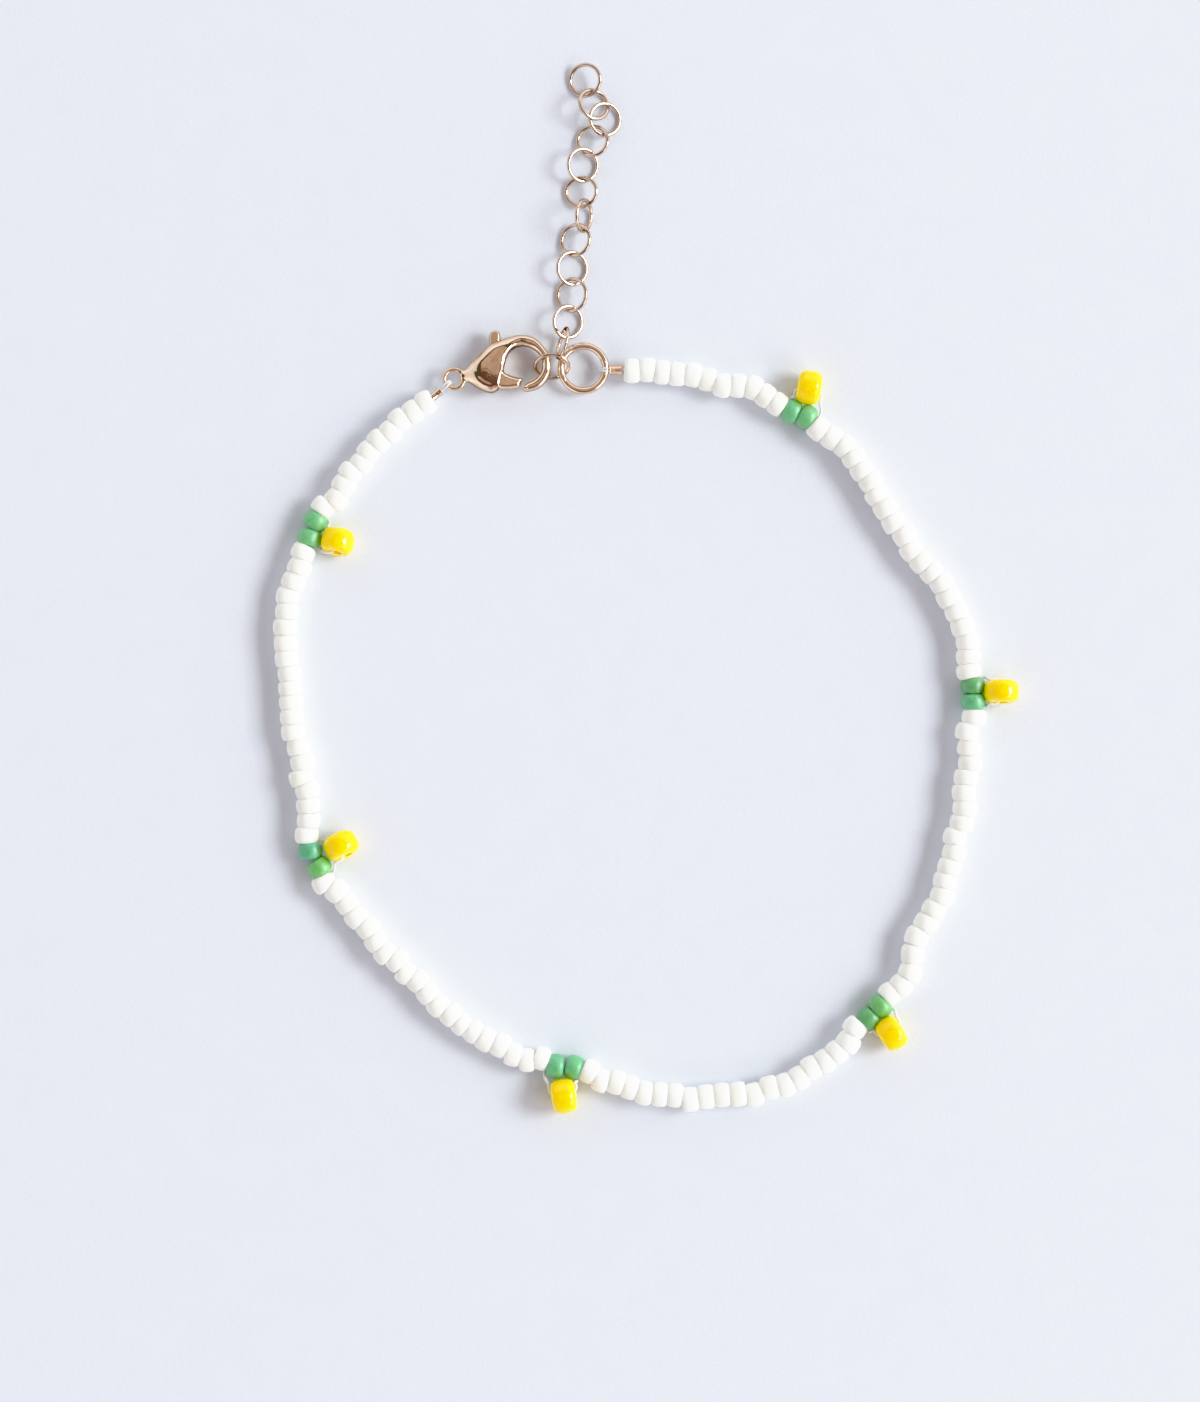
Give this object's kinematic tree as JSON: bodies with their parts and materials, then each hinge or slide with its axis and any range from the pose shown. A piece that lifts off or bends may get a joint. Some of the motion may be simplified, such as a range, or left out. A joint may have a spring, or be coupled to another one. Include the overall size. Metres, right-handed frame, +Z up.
{
  "type": "beaded bracelet",
  "caption": "Seed-bead bracelet of white beads with small green and yellow flower motifs, a lobster clasp and an extender chain, lying open and flat.",
  "frame": {"origin": "centre of the bounding box in plan, on the surface the bracelet lies on", "axes": "+Y from the far side of the loop to the free end of the extender chain, +Z up from the surface"},
  "size_m": [0.0673, 0.0946, 0.0032],
  "materials": {
    "white_beads": "opaque matte cream-white glass",
    "green_beads": "opaque semi-matte iridescent green glass",
    "yellow_beads": "opaque glossy yellow glass",
    "clear_thread": "clear glossy nylon",
    "gold_metal": "polished light rose-gold plate"
  },
  "bodies": {
    "bracelet": {"white_beads_1": "white_beads", "white_beads_2": "white_beads", "white_beads_3": "white_beads", "white_beads_4": "white_beads", "white_beads_5": "white_beads", "white_beads_6": "white_beads", "white_beads_7": "white_beads", "green_bead_a1": "green_beads", "green_bead_a2": "green_beads", "green_bead_b1": "green_beads", "green_bead_b2": "green_beads", "green_bead_c1": "green_beads", "green_bead_c2": "green_beads", "green_bead_d1": "green_beads", "green_bead_d2": "green_beads", "green_bead_e1": "green_beads", "green_bead_e2": "green_beads", "green_bead_f1": "green_beads", "green_bead_f2": "green_beads", "yellow_bead_a": "yellow_beads", "yellow_bead_b": "yellow_beads", "yellow_bead_c": "yellow_beads", "yellow_bead_d": "yellow_beads", "yellow_bead_e": "yellow_beads", "yellow_bead_f": "yellow_beads", "thread_loop_a": "clear_thread", "thread_loop_b": "clear_thread", "thread_loop_c": "clear_thread", "thread_loop_d": "clear_thread", "thread_loop_e": "clear_thread", "thread_loop_f": "clear_thread", "thread_end_clasp": "clear_thread", "thread_end_ring": "clear_thread", "crimp_clasp_side": "gold_metal", "crimp_ring_side": "gold_metal", "clasp_body": "gold_metal", "jump_ring": "gold_metal", "clasped_link": "gold_metal", "hanging_link": "gold_metal", "extender_chain": "gold_metal"},
    "lever": {"clasp_lever": "gold_metal"}
  },
  "joints": [
    {"name": "clasp_lever_open", "type": "hinge", "parent": "bracelet", "child": "lever", "pos_m": [-0.01349, 0.02009, 0.00125], "axis": [0, 0, 1], "range_deg": [0, 25], "stiffness_Nm_per_rad": 0.001}
  ]
}
